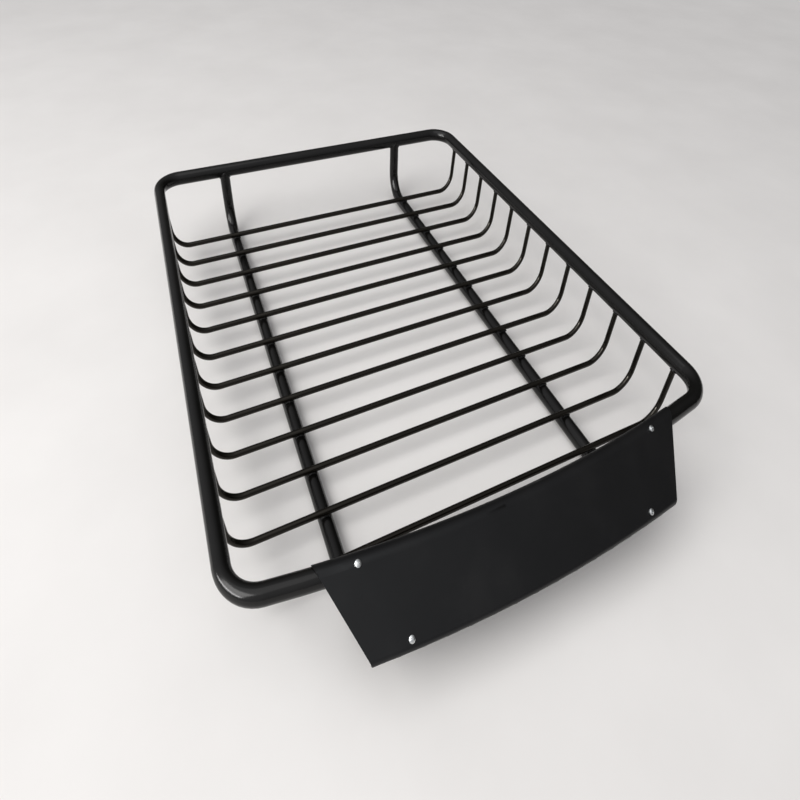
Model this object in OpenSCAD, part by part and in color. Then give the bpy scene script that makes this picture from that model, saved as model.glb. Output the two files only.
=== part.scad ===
// Roof cargo basket: a closed top rim of round tube with a bowed front, thin
// U-shaped crossbars hung under the long sides of the rim, two runner tubes
// below the crossbars that turn up to the rim at both ends, and a sloping
// sheet-metal wind fairing hooked over the front of the rim.
// Units are millimetres. +Z is up and the front of the basket faces -Y.
// The origin is the centre of the footprint, level with the underside of the
// runners.

/* [Rim] */
// Outside width of the rim across its long sides
overall_w = 960; // [800:1:1200]
// Distance from the rear rim's centreline to the middle of the bowed front
rim_len = 1161; // [1080:1:1500]
// Outside diameter of the rim tube
rim_d = 28; // [24:0.5:34]
// Wall thickness of the rim tube
rim_wall = 1.5; // [1.2:0.1:2.5]
// Centreline radius of the four rim corners
corner_r = 58; // [50:1:90]
// Centreline radius of the bowed front
bow_r = 2675; // [2200:5:6000]

/* [Crossbars] */
// Outside diameter of a crossbar
bar_d = 11; // [9:0.5:14]
// Wall thickness of a crossbar
bar_wall = 1.2; // [1:0.1:2]
// Distance from the rear rim's centreline to the first crossbar
bar_first = 94; // [80:1:95]
// Spacing between neighbouring crossbars
bar_pitch = 87; // [80:0.5:88]
// Depth of the crossbars' centreline below the rim's centreline
bar_drop = 113; // [95:1:150]
// Centreline radius of the bends at the ends of a crossbar
bar_bend_r = 45; // [35:1:60]
// Outward lean of the crossbars' legs, as its sine (0.07584 is 4.35 degrees)
leg_lean_sin = 0.07584; // [0.03:0.00001:0.1]
// How far a leg's top stands inboard of the rim's centreline
leg_inset = 3.7; // [0:0.1:6]

/* [Runners] */
// Distance from the middle of the basket to a runner's centreline
runner_x = 280; // [230:1:300]
// Outside diameter of a runner tube
runner_d = 28; // [24:0.5:32]
// Wall thickness of a runner tube
runner_wall = 1.5; // [1.2:0.1:2.5]
// Centreline radius of the bends at the ends of a runner
runner_bend_r = 56; // [50:1:70]
// Diameter of the drain holes in the rim and the runners
drain_d = 5; // [4:0.5:6]

/* [Fairing] */
// Sheet thickness of the fairing
sheet_t = 1.5; // [1:0.1:2]
// Slope of the fairing's face below the horizontal, in degrees
face_slope = 38.6; // [30:0.1:45]
// Length of the flat face, from the rim to the start of the lower lip
face_len = 100.5; // [90:0.5:120]
// How far the hook reaches back over the top of the rim, in degrees
hook_back = 42; // [30:1:60]
// Outside radius of the bend at the lower lip
lip_r = 8.5; // [7:0.5:12]
// Length of the straight flange below the lip's bend
lip_flange = 5; // [3:0.5:8]
// Half width of the fairing at the level of the rim, at its middle
fairing_half_w = 333.4; // [300:0.5:340]
// Narrowing of each side edge for each millimetre down the face
fairing_taper = 0.405; // [0.2:0.005:0.45]

/* [Fasteners] */
// Distance from the middle to an upper fairing screw
top_screw_x = 283; // [260:1:300]
// Forward tilt of the upper fairing screws from vertical, in degrees
top_screw_tilt = 28; // [20:1:32]
// Distance from the middle to a lower fairing screw
low_screw_x = 225; // [210:1:235]
// Distance of the lower fairing screws down the face
low_screw_s = 94.5; // [88:0.5:94.5]
// Head diameter of a fairing screw
screw_head_d = 9.5; // [8:0.5:11]
// Length of a screw's shank under its head
screw_len = 12; // [11.5:0.5:16]

/* [Hidden] */

fn_tube = 48;      // facets round a tube
fn_bend = 96;      // facets round a full tight bend
fn_bow = 720;      // facets round the full bow circle
fn_bore = 32;      // facets round a shank, a bore or a screw hole
fn_drain = 24;     // facets round a drain hole
fn_head = 40;      // facets round a screw head, flange or washer

// Until place() moves them, the parts are drawn with the rear rail's
// centreline as the X axis and the basket reaching along -Y.
rim_r = rim_d / 2;
rim_x = (overall_w - rim_d) / 2;             // side rails' centreline
bow_cy = bow_r - rim_len;                    // centre of the bow circle, in Y
knee_x = rim_x - corner_r;                   // centres of the front corner bends
knee_y = bow_cy - sqrt(pow(bow_r - corner_r, 2) - knee_x * knee_x);
bow_end = asin(knee_x / (bow_r - corner_r)); // half angle of the bowed front

runner_drop = bar_drop + bar_d / 2 + runner_d / 2;
runner_front = bow_cy - sqrt(bow_r * bow_r - runner_x * runner_x);

// The sheet stands off the rim by the thickness of the rivet nuts' flanges.
nut_flange_t = 0.5;
hook_in = rim_r + nut_flange_t;              // inside radius of the hook
hook_out = hook_in + sheet_t;                // outside radius of the hook

screw_d = 4.9;     // screw shank
thread_d = 5.0;    // nut and insert bores
hole_d = 5.5;      // clearance holes
insert_d = 7.2;    // hole for a rivet nut in the rim

// front reach of the lower lip beyond the rim's centreline
lip_reach = hook_out * sin(face_slope) + face_len * cos(face_slope)
            - lip_r * sin(face_slope) + lip_r;
shift_y = (rim_len + lip_reach - rim_r) / 2;
shift_z = runner_drop + runner_d / 2;

// moves a part so that the footprint's centre is the origin
module place() translate([0, shift_y, shift_z]) children();

// a flat ring in the plane
module ring(inner_r, outer_r) difference() {
    circle(r = outer_r, $fn = fn_bend);
    circle(r = inner_r, $fn = fn_bend);
}

// a straight length of round bar along +Z
module straight_bar(length, d) cylinder(d = d, h = length, $fn = fn_tube);

// a length of round bar bent to an arc about the local Z axis, from the X axis
module arc_bar(bend_r, sweep, d, facets = fn_bend)
    rotate_extrude(angle = sweep, $fn = facets)
    translate([bend_r, 0]) circle(d = d, $fn = fn_tube);

// a hole through the lower wall of a tube centred on the origin
module drain_hole(tube_d) translate([0, 0, -tube_d])
    cylinder(d = drain_d, h = tube_d, $fn = fn_drain);

// moves to a point on the bowed front, at a distance x from the middle
module on_bow(x) translate([0, bow_cy, 0]) rotate([0, 0, asin(x / bow_r)])
    translate([0, -bow_r, 0]) children();

// axes of the fairing screws, starting level with the rim's centreline
module at_top_screws() for (side = [-1, 1]) on_bow(side * top_screw_x)
    rotate([top_screw_tilt, 0, 0]) children();

module down_face() rotate([face_slope, 0, 0])
    translate([0, -low_screw_s, 0]) children();

module at_low_screws() for (side = [-1, 1]) on_bow(side * low_screw_x)
    down_face() children();

// ---- rim ----------------------------------------------------------------

rear_drain_x = 120;            // rear rail's drain holes, from the middle
bow_centre = [0, bow_cy];
knee = [knee_x, knee_y];
knee_ray = knee - bow_centre;  // the corner bends meet the bow on this line

// everything above an outline in plan, to well past the rim's tube
module rim_zone(outline) translate([0, 0, -rim_d])
    linear_extrude(height = 2 * rim_d) polygon(outline);

// the path of the rim as a solid bar of diameter d
module rim_bar(d) {
    // side rails
    for (side = [-1, 1]) translate([side * rim_x, -corner_r, 0])
        rotate([90, 0, 0]) straight_bar(-corner_r - knee_y, d);
    // rear rail
    translate([-knee_x, 0, 0]) rotate([0, 90, 0]) straight_bar(2 * knee_x, d);
    // rear corners
    for (side = [1, -1]) translate([side * knee_x, -corner_r, 0])
        rotate([0, 0, side > 0 ? 0 : 90]) arc_bar(corner_r, 90, d);
    // front corners, bent too far and cut off along the line through the bow's centre
    for (flip = [0, 1]) mirror([flip, 0, 0]) intersection() {
        translate([knee_x, knee_y, 0]) rotate([0, 0, -90])
            arc_bar(corner_r, 100, d);
        rim_zone([knee, knee + 0.1 * knee_ray, knee + [200, -250], knee + [200, 0]]);
    }
    // bowed front, a degree too long at each end and cut off along the same lines
    intersection() {
        translate([0, bow_cy, 0]) rotate([0, 0, -90 - bow_end - 1])
            arc_bar(bow_r, 2 * bow_end + 2, d, fn_bow);
        rim_zone([bow_centre,
                  bow_centre + 1.2 * [-knee_ray.x, knee_ray.y],
                  bow_centre + 1.2 * knee_ray]);
    }
}

module rim_tube() {
    color("#1c1b1a") place() difference() {
        rim_bar(rim_d);
        rim_bar(rim_d - 2 * rim_wall);
        // holes for the rivet nuts
        at_top_screws() cylinder(d = insert_d, h = rim_d, $fn = fn_bore);
        // drain holes in the rear rail and the side rails
        for (side = [-1, 1]) {
            translate([side * rear_drain_x, 0, 0]) drain_hole(rim_d);
            translate([side * rim_x, -rim_len / 2, 0]) drain_hole(rim_d);
        }
    }
}

// ---- crossbars ----------------------------------------------------------

leg_lean = asin(leg_lean_sin);
leg_top_x = rim_x - leg_inset;
leg_foot_x = leg_top_x - bar_drop * tan(leg_lean);
// half length of the straight middle of a crossbar, to 0.01 mm
bar_flat_x = round(100 * (leg_foot_x - bar_bend_r * tan(45 - leg_lean / 2))) / 100;
leg_stop = 2;      // a leg is drawn this much short of bar_drop, inside the cope

// the path of a crossbar as a solid bar of diameter d
module cross_rod(d) {
    translate([-bar_flat_x, 0, -bar_drop]) rotate([0, 90, 0])
        straight_bar(2 * bar_flat_x, d);
    for (flip = [0, 1]) mirror([flip, 0, 0]) intersection() {
        // bend and leg, leaning together about the bend's centre
        translate([bar_flat_x, 0, -bar_drop + bar_bend_r])
            rotate([0, leg_lean, 0]) {
                rotate([90, 0, 0]) mirror([0, 1, 0]) arc_bar(bar_bend_r, 95, d);
                translate([bar_bend_r, 0, 0])
                    straight_bar(bar_drop - bar_bend_r - leg_stop, d);
            }
        // cuts the bend off square where the straight middle ends
        translate([bar_flat_x, -bar_d, -bar_drop - bar_d])
            cube([4 * bar_bend_r, 2 * bar_d, bar_drop + 2 * bar_d]);
    }
}

// one crossbar, numbered from the rear, its legs coped to the side rails
module crossbar(number) {
    color("#242220") place()
        translate([0, -bar_first - (number - 1) * bar_pitch, 0]) difference() {
            cross_rod(bar_d);
            cross_rod(bar_d - 2 * bar_wall);
            for (side = [-1, 1]) translate([side * rim_x, 0, 0]) rotate([90, 0, 0])
                cylinder(d = rim_d, h = 4 * bar_d, center = true, $fn = fn_tube);
        }
}

// ---- runners ------------------------------------------------------------

runner_drains = [2.2, 11];     // distances forward of the rear rail, in bar pitches
upright_stop = 4;              // uprights end this far below the rim's centreline
bow_turn = asin(runner_x / bow_r);           // bow's direction over a runner

// the path of a runner as a solid bar of diameter d
module runner_rod(d) {
    translate([0, -runner_bend_r, -runner_drop]) rotate([90, 0, 0])
        straight_bar(-runner_front - 2 * runner_bend_r, d);
    // bend and upright at the rear (1) and at the front (-1)
    for (end = [1, -1]) {
        upright = end > 0 ? 0 : runner_front;
        bend_z = -runner_drop + runner_bend_r;
        translate([0, upright - end * runner_bend_r, bend_z])
            rotate([0, 0, end * 90]) rotate([90, 0, 0]) rotate([0, 0, -90])
            arc_bar(runner_bend_r, 90, d);
        translate([0, upright, bend_z])
            straight_bar(runner_drop - runner_bend_r - upright_stop, d);
    }
}

// cutter that copes a runner's end to the rim
module runner_cope() rotate([0, 90, 0])
    cylinder(d = rim_d, h = 3 * runner_d, center = true, $fn = fn_tube);

// one runner; side is -1 on the left and 1 on the right
module runner(side) {
    color("#201f1d") place() translate([side * runner_x, 0, 0]) difference() {
        runner_rod(runner_d);
        runner_rod(runner_d - 2 * runner_wall);
        runner_cope();
        translate([0, runner_front, 0]) rotate([0, 0, side * bow_turn])
            runner_cope();
        for (pitches = runner_drains)
            translate([0, -pitches * bar_pitch, -runner_drop]) drain_hole(runner_d);
    }
}

// ---- fairing ------------------------------------------------------------

panel_margin = 60; // how far the sweep and its trimming outline pass the sheet
hole_reach = 4;    // lower holes are cut this far each way from the sheet's inside

// section of the sheet: hook over the rim, face, lower lip. It is drawn with
// the face level and then turned to its slope. The first coordinate points
// forward from the rim's centreline, the second up.
module fairing_section() {
    reach = 3 * hook_out;
    hook_end = 90 + face_slope + hook_back;
    rotate(-face_slope) {
        intersection() {
            ring(hook_in, hook_out);
            polygon([[0, 0], [0, reach], [-reach, reach],
                     [reach * cos(hook_end), reach * sin(hook_end)]]);
        }
        translate([0, hook_in]) square([face_len, sheet_t]);
        translate([face_len, hook_out - lip_r]) {
            intersection() {
                ring(lip_r - sheet_t, lip_r);
                square(2 * lip_r);
            }
            translate([lip_r - sheet_t, -lip_flange])
                square([sheet_t, lip_flange]);
        }
    }
}

// outline of the sheet across the basket, drawn in the plane of the face with
// the second coordinate pointing down the face
module fairing_outline() {
    top = -panel_margin;
    bottom = face_len + lip_r + 20;
    top_half_w = fairing_half_w - fairing_taper * top;
    bottom_half_w = fairing_half_w - fairing_taper * bottom;
    polygon([[-top_half_w, top], [top_half_w, top],
             [bottom_half_w, bottom], [-bottom_half_w, bottom]]);
}

module fairing_panel() {
    span = 2 * asin((fairing_half_w + panel_margin) / bow_r);
    color("#2b2a2d") place() difference() {
        intersection() {
            translate([0, bow_cy, 0]) rotate([0, 0, -90 - span / 2])
                rotate_extrude(angle = span, $fn = fn_bow)
                translate([bow_r, 0]) fairing_section();
            translate([0, -rim_len, 0]) rotate([face_slope, 0, 0])
                translate([0, 0, -panel_margin])
                linear_extrude(height = 2 * panel_margin)
                mirror([0, 1]) fairing_outline();
        }
        at_top_screws() cylinder(d = hole_d, h = 2 * hook_out, $fn = fn_bore);
        at_low_screws() translate([0, 0, hook_in - hole_reach])
            cylinder(d = hole_d, h = 2 * hole_reach, $fn = fn_bore);
    }
}

// ---- fairing stays ------------------------------------------------------

// A stay is a level strap from the runner's front upright, ending in a tab
// bent down against the back of the face. It is drawn on the bow at the lower screw.
stay_t = 3;                             // strap thickness
stay_w = 22;                            // strap width
stay_bend_r = 2;                        // inside radius of the bend
stay_bend_steps = 5;                    // facets in the bend
stay_tip = face_len + 1;                // end of the tab, down the face
stay_bend = low_screw_s - 17;           // where the tab starts, down the face
stay_low = -120;                        // bottom of the upright cutters in Z
stay_high = 140;                        // height of the upright cutters

// centre plane of the tab at the bend, from the rim's centreline
stay_y = -stay_bend * cos(face_slope) - (hook_in - stay_t / 2) * sin(face_slope);
stay_z = -stay_bend * sin(face_slope) + (hook_in - stay_t / 2) * cos(face_slope);
// distance from the corner of the centre planes to the bend's tangent points
bend_back = (stay_bend_r + stay_t / 2) * tan(face_slope / 2);
// centre of the bend, as [Y, Z]
stay_bend_centre = [stay_y + bend_back, stay_z - stay_bend_r - stay_t / 2];

// the runner's upright, seen from the lower screw's place on the bow
screw_turn = asin(low_screw_x / bow_r);
upright_dy = runner_front - bow_cy;
upright_x = runner_x * cos(screw_turn) + upright_dy * sin(screw_turn);
upright_y = -runner_x * sin(screw_turn) + upright_dy * cos(screw_turn) + bow_r;

// points round the stay's bend, in the given order of steps
function stay_arc(radius, order) = [
    for (i = order)
        let (angle = 90 + face_slope * i / stay_bend_steps)
        stay_bend_centre + radius * [cos(angle), sin(angle)]];

// side view of the stay: first coordinate is Y, second is Z
module stay_profile() {
    top_arc = stay_arc(stay_bend_r + stay_t, [0 : stay_bend_steps]);
    under_arc = stay_arc(stay_bend_r, [stay_bend_steps : -1 : 0]);
    tab = (stay_tip - stay_bend - bend_back) * [-cos(face_slope), -sin(face_slope)];
    back_y = upright_y + 4;
    under_z = stay_bend_centre[1] + stay_bend_r;
    polygon(concat([[back_y, under_z + stay_t]], top_arc,
                   [top_arc[stay_bend_steps] + tab, under_arc[0] + tab],
                   under_arc, [[back_y, under_z]]));
}

// plan of the stay: a strap that runs from the screw back to the runner
module stay_plan() {
    half_w = stay_w / 2;
    front_y = stay_y - (stay_tip - stay_bend) * cos(face_slope) - 6;
    outer_x = upright_x + 12;           // edges of the strap at the upright
    inner_x = upright_x - 13;
    back_y = upright_y + 2;
    outer_turn_y = stay_y + 4;          // where the strap's edges turn outboard
    inner_turn_y = stay_y + 12;
    polygon([[-half_w, front_y], [half_w, front_y], [half_w, outer_turn_y],
             [outer_x, upright_y - 6], [outer_x, back_y],
             [inner_x, back_y], [-half_w, inner_turn_y]]);
}

// one stay; side is -1 on the left and 1 on the right
module fairing_stay(side) {
    color("#1f1e1d") place() mirror([side < 0 ? 1 : 0, 0, 0])
        on_bow(low_screw_x) difference() {
            intersection() {
                // the side view, drawn across the strap
                translate([-20, 0, 0]) rotate([90, 0, 90])
                    linear_extrude(height = 120) stay_profile();
                translate([0, 0, stay_low]) linear_extrude(height = stay_high)
                    stay_plan();
            }
            down_face() cylinder(d = hole_d, h = hook_in + 5, $fn = fn_bore);
            // end coped to the runner's upright
            translate([upright_x, upright_y, stay_low])
                straight_bar(stay_high, runner_d);
        }
}

// ---- fasteners ----------------------------------------------------------

head_h = 3.1;          // screw head
crown_h = 1.5;         // domed part of the head
recess_depth = 1.9;    // cross recess
recess_len = 4.6;
recess_w = 1.0;
recess_core_d = 2.0;
top_recess_turn = 20;  // turn of each pair of screws about its axis, in degrees
low_recess_turn = 35;

sleeve_z = 1.5;        // inner end of a rivet nut, above the rim's centreline
collar_z = 8.6;        // underside of its upset collar
collar_d = 9.2;
collar_h = 2.6;

washer_d = 10;
washer_bore_d = 5.3;
washer_t = 1;
nut_flats = 8;         // width across flats
nut_h = 4;

// pan-head screw with a cross recess; the head's underside is at Z = 0
module pan_screw() {
    head_r = screw_head_d / 2;
    dome_r = (head_r * head_r + crown_h * crown_h) / (2 * crown_h);
    cut_h = 4;
    difference() {
        union() {
            intersection() {
                cylinder(r = head_r, h = head_h, $fn = fn_head);
                translate([0, 0, head_h - dome_r]) sphere(r = dome_r, $fn = 80);
            }
            translate([0, 0, -screw_len])
                cylinder(d = screw_d, h = screw_len + 0.5, $fn = fn_bore);
        }
        for (turn = [0, 90]) rotate([0, 0, turn])
            translate([-recess_len / 2, -recess_w / 2, head_h - recess_depth])
            cube([recess_len, recess_w, cut_h]);
        translate([0, 0, head_h - recess_depth])
            cylinder(d = recess_core_d, h = cut_h, $fn = 24);
    }
}

// a disc standing on Z = 0 with a hole through it
module bored_disc(outer_d, bore_d, height, facets) difference() {
    cylinder(d = outer_d, h = height, $fn = facets);
    translate([0, 0, -1]) cylinder(d = bore_d, h = height + 2, $fn = fn_bore);
}

module fairing_top_screws() color("#d9dadb") place() at_top_screws()
    translate([0, 0, hook_out]) rotate([0, 0, top_recess_turn]) pan_screw();

module fairing_bottom_screws() color("#d9dadb") place() at_low_screws()
    translate([0, 0, hook_out]) rotate([0, 0, low_recess_turn]) pan_screw();

// rivet nut set in the rim: thin flange on the tube, upset collar inside it
module rim_rivet_nuts() {
    color("#b9b48f") place() at_top_screws() difference() {
        union() {
            // flange, curved to the rim
            intersection() {
                cylinder(d = screw_head_d, h = hook_in + 1, $fn = fn_head);
                rotate([0, 90, 0]) difference() {
                    cylinder(r = hook_in, h = 30, center = true, $fn = fn_bend);
                    cylinder(r = rim_r, h = 40, center = true, $fn = fn_bend);
                }
            }
            // sleeve, ending 0.1 below the top of the rim
            translate([0, 0, sleeve_z])
                cylinder(d = insert_d - 0.3, h = rim_r - sleeve_z - 0.1, $fn = fn_bore);
            translate([0, 0, collar_z])
                cylinder(d = collar_d, h = collar_h, $fn = fn_head);
        }
        cylinder(d = thread_d, h = 3 * rim_r, $fn = fn_bore);
        // the flange's crown follows the inside of the sheet
        rotate([0, 90, 0]) difference() {
            cylinder(r = hook_in + 5, h = 20, center = true, $fn = fn_bend);
            cylinder(r = hook_in, h = 21, center = true, $fn = fn_bend);
        }
    }
}

module stay_washers() color("#c8c9ca") place() at_low_screws()
    translate([0, 0, hook_in - stay_t - washer_t])
    bored_disc(washer_d, washer_bore_d, washer_t, fn_head);

module stay_nuts() color("#c8c9ca") place() at_low_screws()
    translate([0, 0, hook_in - stay_t - washer_t - nut_h])
    bored_disc(nut_flats / cos(30), thread_d, nut_h, 6);

rim_tube();
crossbar(1);  // crossbar_01
crossbar(2);  // crossbar_02
crossbar(3);  // crossbar_03
crossbar(4);  // crossbar_04
crossbar(5);  // crossbar_05
crossbar(6);  // crossbar_06
crossbar(7);  // crossbar_07
crossbar(8);  // crossbar_08
crossbar(9);  // crossbar_09
crossbar(10);  // crossbar_10
crossbar(11);  // crossbar_11
crossbar(12);  // crossbar_12
runner(-1);  // runner_left
runner(1);  // runner_right
fairing_panel();
fairing_stay(-1);  // fairing_stay_left
fairing_stay(1);  // fairing_stay_right
fairing_top_screws();
fairing_bottom_screws();
rim_rivet_nuts();
stay_washers();
stay_nuts();
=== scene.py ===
# A black powder-coated tube rack: a rim tube with rear, front and side rails, two runners
# whose ends rise to the rim, twelve crossbars lying on the runners, and a fairing held by
# two stays at the front. X runs across it (left is -X), Y along it (front is -Y), Z is up.
import math
import random

import bmesh
import bpy
from mathutils import Matrix, Vector


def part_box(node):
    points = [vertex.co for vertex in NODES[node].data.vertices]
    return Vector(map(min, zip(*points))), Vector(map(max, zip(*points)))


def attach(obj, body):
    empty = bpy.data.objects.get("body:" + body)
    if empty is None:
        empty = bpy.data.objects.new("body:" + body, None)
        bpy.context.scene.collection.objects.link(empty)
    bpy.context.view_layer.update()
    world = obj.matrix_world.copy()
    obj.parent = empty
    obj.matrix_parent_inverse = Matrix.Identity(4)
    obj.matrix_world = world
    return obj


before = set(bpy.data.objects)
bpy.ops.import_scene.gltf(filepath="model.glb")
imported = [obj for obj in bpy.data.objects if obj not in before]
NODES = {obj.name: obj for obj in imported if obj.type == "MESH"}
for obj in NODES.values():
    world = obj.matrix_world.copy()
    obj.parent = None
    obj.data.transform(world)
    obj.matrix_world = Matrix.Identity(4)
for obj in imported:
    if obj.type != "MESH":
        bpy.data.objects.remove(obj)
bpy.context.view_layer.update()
MM = 0.001
SIDES = ((-1, "left"), (1, "right"))

# ---------------------------------------------------------------- places
# All measured from the loaded pieces' own boxes.
rim_low, rim_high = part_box("rim_tube")
RIM_RADIUS = (rim_high.z - rim_low.z) / 2      # of the tube itself
RIM_Z = (rim_high.z + rim_low.z) / 2
SIDE_RAIL_X = rim_high.x - RIM_RADIUS          # centreline of the right side rail
REAR_RAIL_Y = rim_high.y - RIM_RADIUS

runner_low, runner_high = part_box("runner_right")
RUNNER_RADIUS = (runner_high.x - runner_low.x) / 2
RUNNER_X = (runner_high.x + runner_low.x) / 2
FRONT_UPRIGHT_Y = runner_low.y + RUNNER_RADIUS
REAR_UPRIGHT_Y = runner_high.y - RUNNER_RADIUS

bar_boxes = [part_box("crossbar_%02d" % number) for number in range(1, 13)]
BAR_YS = [(low.y + high.y) / 2 for low, high in bar_boxes]
bar_low, bar_high = bar_boxes[-1]
BAR_RADIUS = (bar_high.y - bar_low.y) / 2
BAR_BOTTOM = bar_low.z


# ---------------------------------------------------------------- node helpers
def add_node(tree, kind, **settings):
    node = tree.nodes.new(kind)
    for key, value in settings.items():
        setattr(node, key, value)
    return node


class Shader:
    """A node material around one Principled shader, in object coordinates."""

    def __init__(self, name):
        self.material = bpy.data.materials.new(name)
        self.material.use_nodes = True
        self.tree = self.material.node_tree
        self.tree.nodes.clear()
        self.output = self.node("ShaderNodeOutputMaterial")
        self.surface = self.node("ShaderNodeBsdfPrincipled")
        self.link(self.surface.outputs[0], self.output.inputs["Surface"])
        self.coords = self.node("ShaderNodeTexCoord").outputs["Object"]

    def node(self, kind, **settings):
        return add_node(self.tree, kind, **settings)

    def link(self, source, target):
        self.tree.links.new(source, target)

    def put(self, socket, value):
        """Links a socket to the input, or stores a plain value in it."""
        if isinstance(value, bpy.types.NodeSocket):
            self.link(value, socket)
        else:
            socket.default_value = value

    def set(self, **inputs):
        """Fills the Principled inputs; underscores stand for spaces."""
        for key, value in inputs.items():
            self.put(self.surface.inputs[key.replace("_", " ")], value)

    def noise(self, scale, detail, rough=0.55, coords=None, distortion=0.0):
        node = self.node("ShaderNodeTexNoise")
        self.link(coords or self.coords, node.inputs["Vector"])
        node.inputs["Scale"].default_value = scale
        node.inputs["Detail"].default_value = detail
        node.inputs["Roughness"].default_value = rough
        node.inputs["Distortion"].default_value = distortion
        return node.outputs["Fac"]

    def voronoi(self, scale):
        node = self.node("ShaderNodeTexVoronoi", feature="F1")
        self.link(self.coords, node.inputs["Vector"])
        node.inputs["Scale"].default_value = scale
        return node.outputs["Distance"]

    def stretch(self, x, y, z):
        node = self.node("ShaderNodeMapping")
        self.link(self.coords, node.inputs["Vector"])
        node.inputs["Scale"].default_value = (x, y, z)
        return node.outputs["Vector"]

    def remap(self, value, source, to, smooth=False):
        """Maps the range `source` onto the range `to`."""
        node = self.node("ShaderNodeMapRange")
        if smooth:
            node.interpolation_type = "SMOOTHSTEP"
        self.put(node.inputs["Value"], value)
        node.inputs["From Min"].default_value = source[0]
        node.inputs["From Max"].default_value = source[1]
        node.inputs["To Min"].default_value = to[0]
        node.inputs["To Max"].default_value = to[1]
        return node.outputs["Result"]

    def calc(self, operation, first, second):
        node = self.node("ShaderNodeMath", operation=operation)
        self.put(node.inputs[0], first)
        self.put(node.inputs[1], second)
        return node.outputs[0]

    def add(self, first, second):
        return self.calc("ADD", first, second)

    def multiply(self, first, second):
        return self.calc("MULTIPLY", first, second)

    def mix(self, factor, first, second):
        node = self.node("ShaderNodeMix", data_type="RGBA")
        self.put(node.inputs["Factor"], factor)
        self.put(node.inputs["A"], first)
        self.put(node.inputs["B"], second)
        return node.outputs["Result"]

    def bump(self, height, strength, distance, normal=None):
        node = self.node("ShaderNodeBump")
        self.put(node.inputs["Height"], height)
        node.inputs["Strength"].default_value = strength
        node.inputs["Distance"].default_value = distance
        if normal is not None:
            self.link(normal, node.inputs["Normal"])
        return node.outputs["Normal"]

    def facing_up(self):
        """1 on faces that look up, 0 on upright ones, -1 on faces that look down."""
        geometry = self.node("ShaderNodeNewGeometry")
        parts = self.node("ShaderNodeSeparateXYZ")
        self.link(geometry.outputs["Normal"], parts.inputs[0])
        return parts.outputs["Z"]


# ---------------------------------------------------------------- materials
DUST = (0.20, 0.19, 0.175, 1.0)
PIT = (0.18, 0.17, 0.16, 1.0)


def powder_coat(name, base, roughness, specular, peel, dust, wave=0.0, clump=0.0,
                tint=(1, 1, 1)):
    """Black powder coat: orange peel, slight colour drift, soft rubs and specks of dust.

    peel, wave and clump are bump strengths: orange peel, slow waves, weld lumps.
    """
    m = Shader(name)
    drift = m.noise(scale=7.0, detail=4.0)
    lighter = [channel * 1.7 + 0.0006 for channel in base]
    colour = m.mix(m.remap(drift, source=(0.35, 0.7), to=(0.0, 0.8)),
                   (*base, 1.0), (*lighter, 1.0))

    # dust: tiny pale specks, and a very thin film, only where a face looks up
    settle = m.remap(m.facing_up(), source=(0.3, 1.0), to=(0.0, 1.0), smooth=True)
    patch = m.remap(m.noise(scale=14.0, detail=5.0),
                    source=(0.48, 0.75), to=(0.0, 1.0), smooth=True)
    dots = m.remap(m.voronoi(scale=260.0), source=(0.0, 0.085), to=(1.0, 0.0), smooth=True)
    specks = m.multiply(m.multiply(dots, settle), m.multiply(patch, dust))
    film_share = 0.035
    film = m.multiply(m.multiply(patch, settle), dust * film_share)
    most_dust = 0.5
    cover = m.calc("MINIMUM", m.add(specks, film), most_dust)
    m.set(Base_Color=m.mix(cover, colour, DUST))

    # roughness: broad clouds, fine grain, rubs that run along Y, matt specks
    grain = m.noise(scale=900.0, detail=2.0)
    rubs = m.noise(scale=55.0, detail=6.0, rough=0.7,
                   coords=m.stretch(x=1.0, y=0.12, z=1.0), distortion=1.5)
    clouds = m.noise(scale=12.0, detail=5.0, rough=0.6)
    rough = m.remap(clouds, source=(0.3, 0.75), to=roughness)
    rough = m.add(rough, m.remap(grain, source=(0.3, 0.7), to=(-0.015, 0.02)))
    rough = m.add(rough, m.remap(rubs, source=(0.55, 0.8), to=(0.0, 0.06)))
    speck_roughness = 0.4
    rough = m.add(rough, m.multiply(specks, speck_roughness))
    m.set(Roughness=rough, IOR=1.50, Specular_IOR_Level=specular, Specular_Tint=(*tint, 1.0))

    # orange peel at two scales, then the optional waves and lumps
    normal = m.bump(m.noise(scale=430.0, detail=2.0, rough=0.5),
                    strength=peel, distance=0.00022)
    normal = m.bump(m.noise(scale=130.0, detail=2.0, rough=0.5),
                    strength=peel * 0.6, distance=0.0005, normal=normal)
    if wave:
        normal = m.bump(m.noise(scale=6.5, detail=1.0, rough=0.4),
                        strength=wave, distance=0.004, normal=normal)
    if clump:
        normal = m.bump(m.noise(scale=700.0, detail=3.0, rough=0.6),
                        strength=clump, distance=0.0008, normal=normal)
    m.set(Normal=normal)
    return m.material


def plated(name, base, tint, roughness, scratch):
    """Zinc plate on steel: crystals drifting from base to tint, pits, fine scratches."""
    m = Shader(name)
    drift = m.noise(scale=600.0, detail=4.0, rough=0.6)
    fine = m.noise(scale=3200.0, detail=2.0)
    colour = m.mix(m.remap(drift, source=(0.3, 0.7), to=(0.0, 1.0)),
                   (*base, 1.0), (*tint, 1.0))
    pits = m.remap(m.voronoi(scale=1500.0), source=(0.0, 0.10), to=(0.35, 0.0))
    m.set(Base_Color=m.mix(pits, colour, PIT), Metallic=1.0)
    rough = m.remap(drift, source=(0.3, 0.7), to=roughness)
    rough = m.add(rough, m.remap(fine, source=(0.3, 0.7), to=(-0.04, 0.06)))
    m.set(Roughness=rough)
    scratches = m.noise(scale=2400.0, detail=3.0, rough=0.6,
                        coords=m.stretch(x=1.0, y=1.0, z=0.25))
    normal = m.bump(scratches, strength=scratch, distance=0.0002)
    normal = m.bump(m.noise(scale=500.0, detail=2.0),
                    strength=scratch * 0.6, distance=0.0005, normal=normal)
    m.set(Normal=normal)
    return m.material


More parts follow.
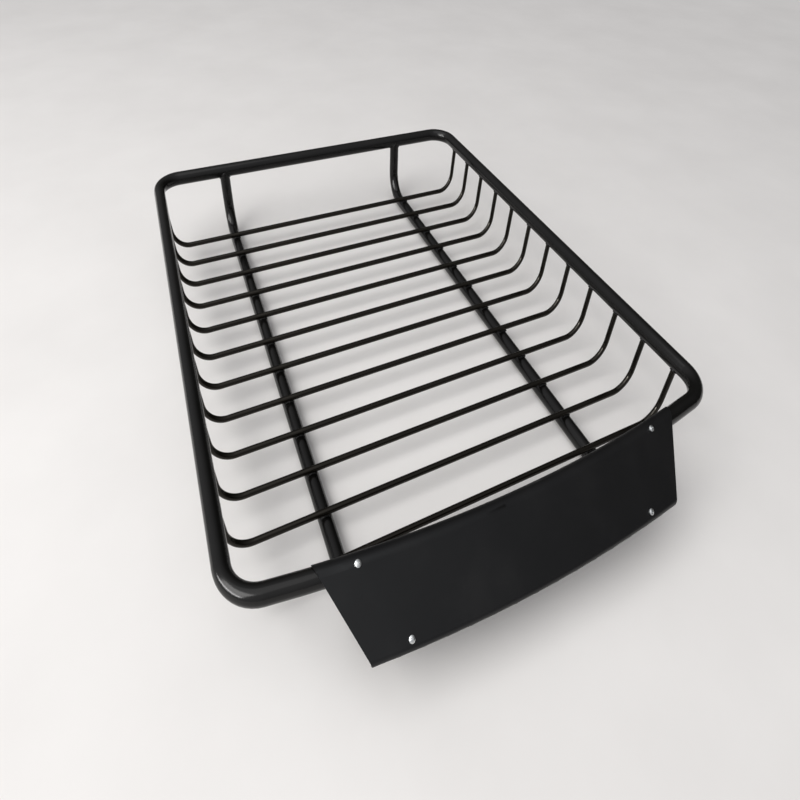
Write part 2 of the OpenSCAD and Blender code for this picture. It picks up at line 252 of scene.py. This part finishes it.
BLACK = (0.0026, 0.0024, 0.0022)
TUBE = powder_coat("tube_powder_coat", base=BLACK, roughness=(0.14, 0.20),
                   specular=0.45, peel=0.07, dust=0.40)
BARS = powder_coat("crossbar_powder_coat", base=(0.0030, 0.0023, 0.0014),
                   roughness=(0.13, 0.20), specular=0.40, peel=0.07, dust=0.45,
                   tint=(1.0, 0.94, 0.84))
SHEET = powder_coat("fairing_powder_coat", base=(0.0044, 0.0042, 0.0045),
                    roughness=(0.34, 0.43), specular=0.40, peel=0.10, dust=0.45,
                    wave=0.10, tint=(0.95, 0.98, 1.0))
WELD = powder_coat("weld_powder_coat", base=BLACK, roughness=(0.22, 0.32),
                   specular=0.40, peel=0.20, dust=0.35, clump=0.35)
ZINC = plated("bright_zinc", base=(0.70, 0.72, 0.74), tint=(0.60, 0.61, 0.60),
              roughness=(0.20, 0.36), scratch=0.20)
DULL = plated("dull_zinc", base=(0.50, 0.51, 0.52), tint=(0.42, 0.42, 0.40),
              roughness=(0.34, 0.50), scratch=0.30)
YELLOW = plated("yellow_zinc", base=(0.55, 0.47, 0.26), tint=(0.48, 0.44, 0.30),
                roughness=(0.28, 0.45), scratch=0.25)

# Crossbars take BARS, and every piece not named here takes YELLOW.
FINISHES = {
    "rim_tube": TUBE,
    "runner_left": TUBE,
    "runner_right": TUBE,
    "fairing_stay_left": TUBE,
    "fairing_stay_right": TUBE,
    "fairing_panel": SHEET,
    "fairing_top_screws": ZINC,
    "fairing_bottom_screws": ZINC,
    "stay_washers": DULL,
    "stay_nuts": DULL,
}
for name in NODES:
    slots = NODES[name].data.materials
    slots.clear()
    slots.append(BARS if name.startswith("crossbar") else FINISHES.get(name, YELLOW))

# ---------------------------------------------------------------- weld beads
BEAD_SIDES = 10
TIP_LENGTH = 0.6                    # of an open bead's pointed ends, in bead radii
RIPPLE_DEPTH = 0.16                 # shares of the bead's radius
RIPPLE_WANDER = 0.10
LEG_LEAN = math.asin(0.07584)       # a crossbar leg's lean from upright, top outward
LEG_INSET = 3.7 * MM                # from the side rail's centreline in to the leg's axis
FRONT_RAIL_RADIUS = 2.675           # of the arc that the front rail follows
STAY_THICKNESS = 3 * MM


def sweep(bm, path, radii, closed):
    """Adds a bead along a path: a closed loop, or an open run with pointed ends."""
    count = len(path)
    rings = []
    for i, point in enumerate(path):
        before = path[(i - 1) % count] if closed or i > 0 else point
        after = path[(i + 1) % count] if closed or i < count - 1 else point
        along = (after - before).normalized()
        reference = Vector((0, 0, 1)) if abs(along.z) < 0.9 else Vector((1, 0, 0))
        u = along.cross(reference).normalized()
        v = along.cross(u).normalized()
        ring = []
        for k in range(BEAD_SIDES):
            angle = 2 * math.pi * k / BEAD_SIDES
            outward = math.cos(angle) * u + math.sin(angle) * v
            ring.append(bm.verts.new(point + radii[i] * outward))
        rings.append(ring)
    for i in range(count if closed else count - 1):
        here, there = rings[i], rings[(i + 1) % count]
        for k in range(BEAD_SIDES):
            j = (k + 1) % BEAD_SIDES
            bm.faces.new((here[k], here[j], there[j], there[k]))
    if closed:
        return
    for ring, end, inner in ((rings[0], path[0], path[1]), (rings[-1], path[-1], path[-2])):
        reach = (ring[0].co - end).length * TIP_LENGTH
        tip = bm.verts.new(end + (end - inner).normalized() * reach)
        for k in range(BEAD_SIDES):
            bm.faces.new((ring[k], ring[(k + 1) % BEAD_SIDES], tip))


def ripple(rng, steps, radius, waves):
    """Radii of a hand-laid bead: overlapping ripples that drift a little."""
    phase = rng.uniform(0, 6.28)
    drift_phase = rng.uniform(0, 6.28)
    radii = []
    for i in range(steps):
        t = i / steps
        hump = abs(math.sin(math.pi * waves * t + phase))
        drift = math.sin(2 * math.pi * 2 * t + drift_phase)
        radii.append(radius * (1 - RIPPLE_DEPTH + RIPPLE_DEPTH * hump + RIPPLE_WANDER * drift))
    return radii


def weld_object(name, beads):
    """Makes one object from beads, each given as (path, radii, closed)."""
    bm = bmesh.new()
    for path, radii, closed in beads:
        sweep(bm, path, radii, closed)
    bmesh.ops.recalc_face_normals(bm, faces=bm.faces)
    mesh = bpy.data.meshes.new(name)
    bm.to_mesh(mesh)
    bm.free()
    for polygon in mesh.polygons:
        polygon.use_smooth = True
    weld = bpy.data.objects.new(name, mesh)
    bpy.context.scene.collection.objects.link(weld)
    mesh.materials.append(WELD)
    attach(weld, "root")


def leg_weld(rng, side, y):
    """Bead round a crossbar's leg where it meets the underside of a side rail."""
    steps = 96
    ring_radius = BAR_RADIUS + 0.35 * MM
    below_rail = 0.25 * MM
    top = Vector((side * (SIDE_RAIL_X - LEG_INSET), y, RIM_Z))
    axis = Vector((side * math.sin(LEG_LEAN), 0, math.cos(LEG_LEAN)))
    path = []
    for i in range(steps):
        angle = 2 * math.pi * i / steps
        outward = Vector((math.cos(angle) * math.cos(LEG_LEAN), math.sin(angle),
                          -side * math.cos(angle) * math.sin(LEG_LEAN)))
        point = top + ring_radius * outward
        # slide along the leg's axis, by repeated steps, onto the rail's surface
        for _ in range(6):
            across = point.x - side * SIDE_RAIL_X
            drop = math.sqrt(max(RIM_RADIUS ** 2 - across * across, 0.0))
            wanted_z = RIM_Z - drop - below_rail
            point = point + axis * ((wanted_z - point.z) / axis.z)
        path.append(point)
    return path, ripple(rng, steps, radius=1.75 * MM, waves=13), True


def runner_welds(rng, x, y):
    """Two short beads where a crossbar lies on a runner: before the bar and behind it."""
    steps = 30
    offset = 3.9 * MM           # from the bar's axis
    lift = 1.0 * MM             # above the bar's underside
    waver = 0.2 * MM            # side to side
    drop_y, drop_z = 0.12, 0.62  # shares of the runner's fall followed out and down
    taper = 0.45                # share of the radius lost at the ends
    beads = []
    for face in (-1, 1):
        half = rng.uniform(8.2, 9.6) * MM
        shift = rng.uniform(-0.8, 0.8) * MM
        path = []
        radii = []
        for i, radius in enumerate(ripple(rng, steps, radius=2.3 * MM, waves=6)):
            across = -half + 2 * half * i / (steps - 1)
            drop = RUNNER_RADIUS - math.sqrt(RUNNER_RADIUS ** 2 - across * across)
            away = offset + drop_y * drop + waver * math.sin(i * 0.9 + shift * 900)
            path.append(Vector((x + across + shift, y + face * away,
                                BAR_BOTTOM + lift - drop_z * drop)))
            radii.append(radius * (1 - taper * abs(across / half) ** 3))
        beads.append((path, radii, False))
    return beads


def saddle_weld(rng, x, y, turn):
    """Bead round a runner's upright coped into a rail; turn is the rail's angle from X."""
    steps = 140
    ring_radius = RUNNER_RADIUS + 0.3 * MM
    least_drop = 1.5 * MM
    below_rail = 0.3 * MM
    path = []
    for i in range(steps):
        angle = 2 * math.pi * i / steps
        along = ring_radius * math.cos(angle)
        across = ring_radius * math.sin(angle)
        drop = math.sqrt(max(RIM_RADIUS ** 2 - across * across, 0.0))
        path.append(Vector((
            x + math.cos(turn) * along - math.sin(turn) * across,
            y + math.sin(turn) * along + math.cos(turn) * across,
            RIM_Z - max(drop, least_drop) - below_rail,
        )))
    return path, ripple(rng, steps, radius=2.1 * MM, waves=26), True


def stay_weld(rng, side, z):
    """Bead along a stay's coped end, round the front of the runner's front upright."""
    steps = 46
    arc_radius = RUNNER_RADIUS + 0.9 * MM
    start, span = -155.2, 140   # degrees; -90 points straight forward
    taper = 0.4                 # share of the radius lost at the ends
    path = []
    radii = []
    for i, radius in enumerate(ripple(rng, steps, radius=1.7 * MM, waves=8)):
        angle = math.radians(start + span * i / (steps - 1))
        path.append(Vector((side * (RUNNER_X + arc_radius * math.cos(angle)),
                            FRONT_UPRIGHT_Y + arc_radius * math.sin(angle), z)))
        from_middle = 2 * i / (steps - 1) - 1
        radii.append(radius * (1 - taper * from_middle ** 4))
    return path, radii, False


for number, y in enumerate(BAR_YS, start=1):
    rng = random.Random(100 + number)
    beads = []
    for side, _ in SIDES:
        beads.append(leg_weld(rng, side, y))
        beads += runner_welds(rng, side * RUNNER_X, y)
    weld_object("weld_crossbar_%02d" % number, beads)

for side, name in SIDES:
    rng = random.Random(40 + side)
    turn = side * math.asin(RUNNER_X / FRONT_RAIL_RADIUS)
    weld_object("weld_runner_" + name, [
        saddle_weld(rng, side * RUNNER_X, REAR_UPRIGHT_Y, turn=0.0),
        saddle_weld(rng, side * RUNNER_X, FRONT_UPRIGHT_Y, turn=turn),
    ])

for side, name in SIDES:
    rng = random.Random(60 + side)
    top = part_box("fairing_stay_" + name)[1].z
    proud = 0.5 * MM
    weld_object("weld_stay_" + name, [
        stay_weld(rng, side, top + proud),
        stay_weld(rng, side, top - STAY_THICKNESS - proud),
    ])

# ---------------------------------------------------------------- floor
BACKDROP = (0.72, 0.715, 0.705, 1)  # the pale tone the floor fades into


def floor_material():
    m = Shader("floor_pale")
    clouds = m.noise(scale=3.0, detail=4.0)
    colour = m.mix(m.remap(clouds, source=(0.3, 0.7), to=(0, 1)),
                   (0.76, 0.745, 0.73, 1), (0.80, 0.785, 0.77, 1))
    m.set(Base_Color=colour, Roughness=0.8, Specular_IOR_Level=0.2)
    # far out the floor takes the backdrop's tone, so there is no hard horizon
    distance = m.node("ShaderNodeVectorMath", operation="LENGTH")
    m.link(m.coords, distance.inputs[0])
    glow = m.node("ShaderNodeEmission")
    glow.inputs["Color"].default_value = BACKDROP
    blend = m.node("ShaderNodeMixShader")
    fade = m.remap(distance.outputs["Value"], source=(3.0, 12.0), to=(0.0, 1.0), smooth=True)
    m.link(fade, blend.inputs[0])
    m.link(m.surface.outputs[0], blend.inputs[1])
    m.link(glow.outputs[0], blend.inputs[2])
    m.link(blend.outputs[0], m.output.inputs["Surface"])
    return m.material


def floor():
    bm = bmesh.new()
    bmesh.ops.create_grid(bm, x_segments=4, y_segments=4, size=40.0)
    mesh = bpy.data.meshes.new("floor")
    bm.to_mesh(mesh)
    bm.free()
    ground = bpy.data.objects.new("floor", mesh)
    bpy.context.scene.collection.objects.link(ground)
    ground.location.z = -0.5 * MM
    mesh.materials.append(floor_material())


floor()


# ---------------------------------------------------------------- lights
def add_light(name, kind, toward, energy, color, location=(0, 0, 0), **shape):
    """Adds a light shining in the direction `toward`."""
    data = bpy.data.lights.new(name, kind)
    data.energy = energy
    data.color = color
    for key, value in shape.items():
        setattr(data, key, value)
    light = bpy.data.objects.new(name, data)
    bpy.context.scene.collection.objects.link(light)
    light.location = location
    light.rotation_euler = Vector(toward).to_track_quat("-Z", "Y").to_euler()
    return light


def area(name, location, target, **settings):
    toward = Vector(target) - Vector(location)
    return add_light(name, "AREA", toward, location=location, shape="RECTANGLE", **settings)


# one big soft light on the left, a very wide soft light that keeps the floor even
# as far as the horizon, and a long low window that shows only as a glint on the gloss
area("key", location=(-3.3, -0.9, 2.9), target=(-0.3, -0.2, 0),
     size=3.6, size_y=2.8, energy=124, color=(1.0, 0.99, 0.975))
add_light("ceiling", "SUN", toward=(0.35, 0.05, -1.0), energy=0.50,
          color=(1.0, 0.995, 0.985), angle=math.radians(60))
window = area("window", location=(-3.7, -0.7, 1.55), target=(0, 0, 0.1),
              size=3.6, size_y=0.65, energy=84, color=(1.0, 0.995, 0.985))
window.visible_diffuse = False


# ---------------------------------------------------------------- world
def studio_world():
    """A room brightest up to the front left; the camera sees the even backdrop instead."""
    world = bpy.data.worlds.new("studio")
    world.use_nodes = True
    tree = world.node_tree
    link = tree.links.new
    background = tree.nodes["Background"]
    background.inputs["Strength"].default_value = 1.0
    coords = add_node(tree, "ShaderNodeTexCoord")
    toward = add_node(tree, "ShaderNodeVectorMath", operation="DOT_PRODUCT")
    toward.inputs[1].default_value = Vector((-0.62, -0.30, 0.72)).normalized()
    link(coords.outputs["Generated"], toward.inputs[0])
    lift = add_node(tree, "ShaderNodeMapRange", interpolation_type="SMOOTHSTEP")
    lift.inputs["From Min"].default_value = -0.35
    lift.inputs["From Max"].default_value = 1.0
    link(toward.outputs["Value"], lift.inputs["Value"])
    room = add_node(tree, "ShaderNodeMix", data_type="RGBA")
    room.inputs["A"].default_value = (0.08, 0.079, 0.074, 1)
    room.inputs["B"].default_value = (0.80, 0.80, 0.82, 1)
    link(lift.outputs["Result"], room.inputs["Factor"])
    rays = add_node(tree, "ShaderNodeLightPath")
    shown = add_node(tree, "ShaderNodeMix", data_type="RGBA")
    shown.inputs["B"].default_value = BACKDROP
    link(rays.outputs["Is Camera Ray"], shown.inputs["Factor"])
    link(room.outputs["Result"], shown.inputs["A"])
    link(shown.outputs["Result"], background.inputs["Color"])
    return world


bpy.context.scene.world = studio_world()
view = bpy.context.scene.view_settings
view.view_transform = "Standard"
view.look = "None"
view.exposure = 0.0
view.gamma = 0.90

# ---------------------------------------------------------------- camera
# The picture is a wide view squeezed to 3/4 of its true width. The camera has an
# ordinary lens, and a small plate just in front of it widens and squeezes the view.
# A camera moved anywhere else sees past the plate and takes an ordinary picture.
LENS = 42.0                         # mm, on a sensor 36 mm wide
VIEW_LENS_ACROSS = 22.844925        # mm, the squeezed view's focal lengths
VIEW_LENS_DOWN = 30.459915
YAW, PITCH, ROLL = 0.452983, 0.717837, -0.047764    # radians
CAMERA_OFFSET = Vector((-0.427272, -1.567981, 0.634188))    # from the rear rail's middle
PLATE_DISTANCE = 10 * MM
PLATE_HALF = 5.2 * MM
PLATE_RANGE = 30 * MM               # the plate bends only rays shorter than this
PORTAL_REACH = 1.3                  # rays restart this many plate distances out


def camera_matrix():
    forward = Vector((math.sin(YAW) * math.cos(PITCH), math.cos(YAW) * math.cos(PITCH),
                      -math.sin(PITCH)))
    level = Vector((math.cos(YAW), -math.sin(YAW), 0.0))
    below = forward.cross(level)
    right = level * math.cos(ROLL) + below * math.sin(ROLL)
    down = -level * math.sin(ROLL) + below * math.cos(ROLL)
    matrix = Matrix((right, -down, -forward)).transposed().to_4x4()
    matrix.translation = CAMERA_OFFSET + Vector((0, REAR_RAIL_Y, RIM_Z))
    return matrix


def camera():
    data = bpy.data.cameras.new("camera")
    data.sensor_fit = "HORIZONTAL"
    data.sensor_width = 36.0
    data.lens = LENS
    data.clip_start = 0.001
    data.clip_end = 60.0
    holder = bpy.data.objects.new("camera", data)
    bpy.context.scene.collection.objects.link(holder)
    holder.matrix_world = camera_matrix()
    bpy.context.scene.camera = holder


def plate_material():
    """Sends near camera rays on along the squeezed view, and lets all others through."""
    material = bpy.data.materials.new("lens_plate")
    material.use_nodes = True
    tree = material.node_tree
    tree.nodes.clear()

    def node(kind, **settings):
        return add_node(tree, "ShaderNode" + kind, **settings)

    to_world = {"convert_from": "OBJECT", "convert_to": "WORLD"}
    output = node("OutputMaterial")
    portal = node("BsdfRayPortal")
    clear = node("BsdfTransparent")
    pick = node("MixShader")
    coords = node("TexCoord")
    squeeze = node("VectorMath", operation="MULTIPLY")
    squeeze.inputs[1].default_value = (LENS / VIEW_LENS_ACROSS, LENS / VIEW_LENS_DOWN, 1.0)
    start = node("VectorMath", operation="SCALE")
    start.inputs["Scale"].default_value = PORTAL_REACH
    heading = node("VectorTransform", vector_type="VECTOR", **to_world)
    place = node("VectorTransform", vector_type="POINT", **to_world)
    unit = node("VectorMath", operation="NORMALIZE")
    rays = node("LightPath")
    near = node("Math", operation="LESS_THAN")
    near.inputs[1].default_value = PLATE_RANGE
    both = node("Math", operation="MULTIPLY")
    for source, target in (
        (coords.outputs["Object"], squeeze.inputs[0]),
        (squeeze.outputs[0], start.inputs[0]),
        (squeeze.outputs[0], heading.inputs[0]),
        (start.outputs[0], place.inputs[0]),
        (place.outputs[0], portal.inputs["Position"]),
        (heading.outputs[0], unit.inputs[0]),
        (unit.outputs[0], portal.inputs["Direction"]),
        (rays.outputs["Ray Length"], near.inputs[0]),
        (near.outputs[0], both.inputs[0]),
        (rays.outputs["Is Camera Ray"], both.inputs[1]),
        (both.outputs[0], pick.inputs[0]),
        (clear.outputs[0], pick.inputs[1]),
        (portal.outputs[0], pick.inputs[2]),
        (pick.outputs[0], output.inputs["Surface"]),
    ):
        tree.links.new(source, target)
    return material


def lens_plate():
    """A square just over 1 cm wide in front of the camera."""
    corners = ((-1, -1), (1, -1), (1, 1), (-1, 1))
    mesh = bpy.data.meshes.new("lens_plate")
    mesh.from_pydata([(x * PLATE_HALF, y * PLATE_HALF, -PLATE_DISTANCE) for x, y in corners],
                     [], [(0, 1, 2, 3)])
    plate = bpy.data.objects.new("lens_plate", mesh)
    bpy.context.scene.collection.objects.link(plate)
    plate.matrix_world = camera_matrix()
    mesh.materials.append(plate_material())


camera()
lens_plate()
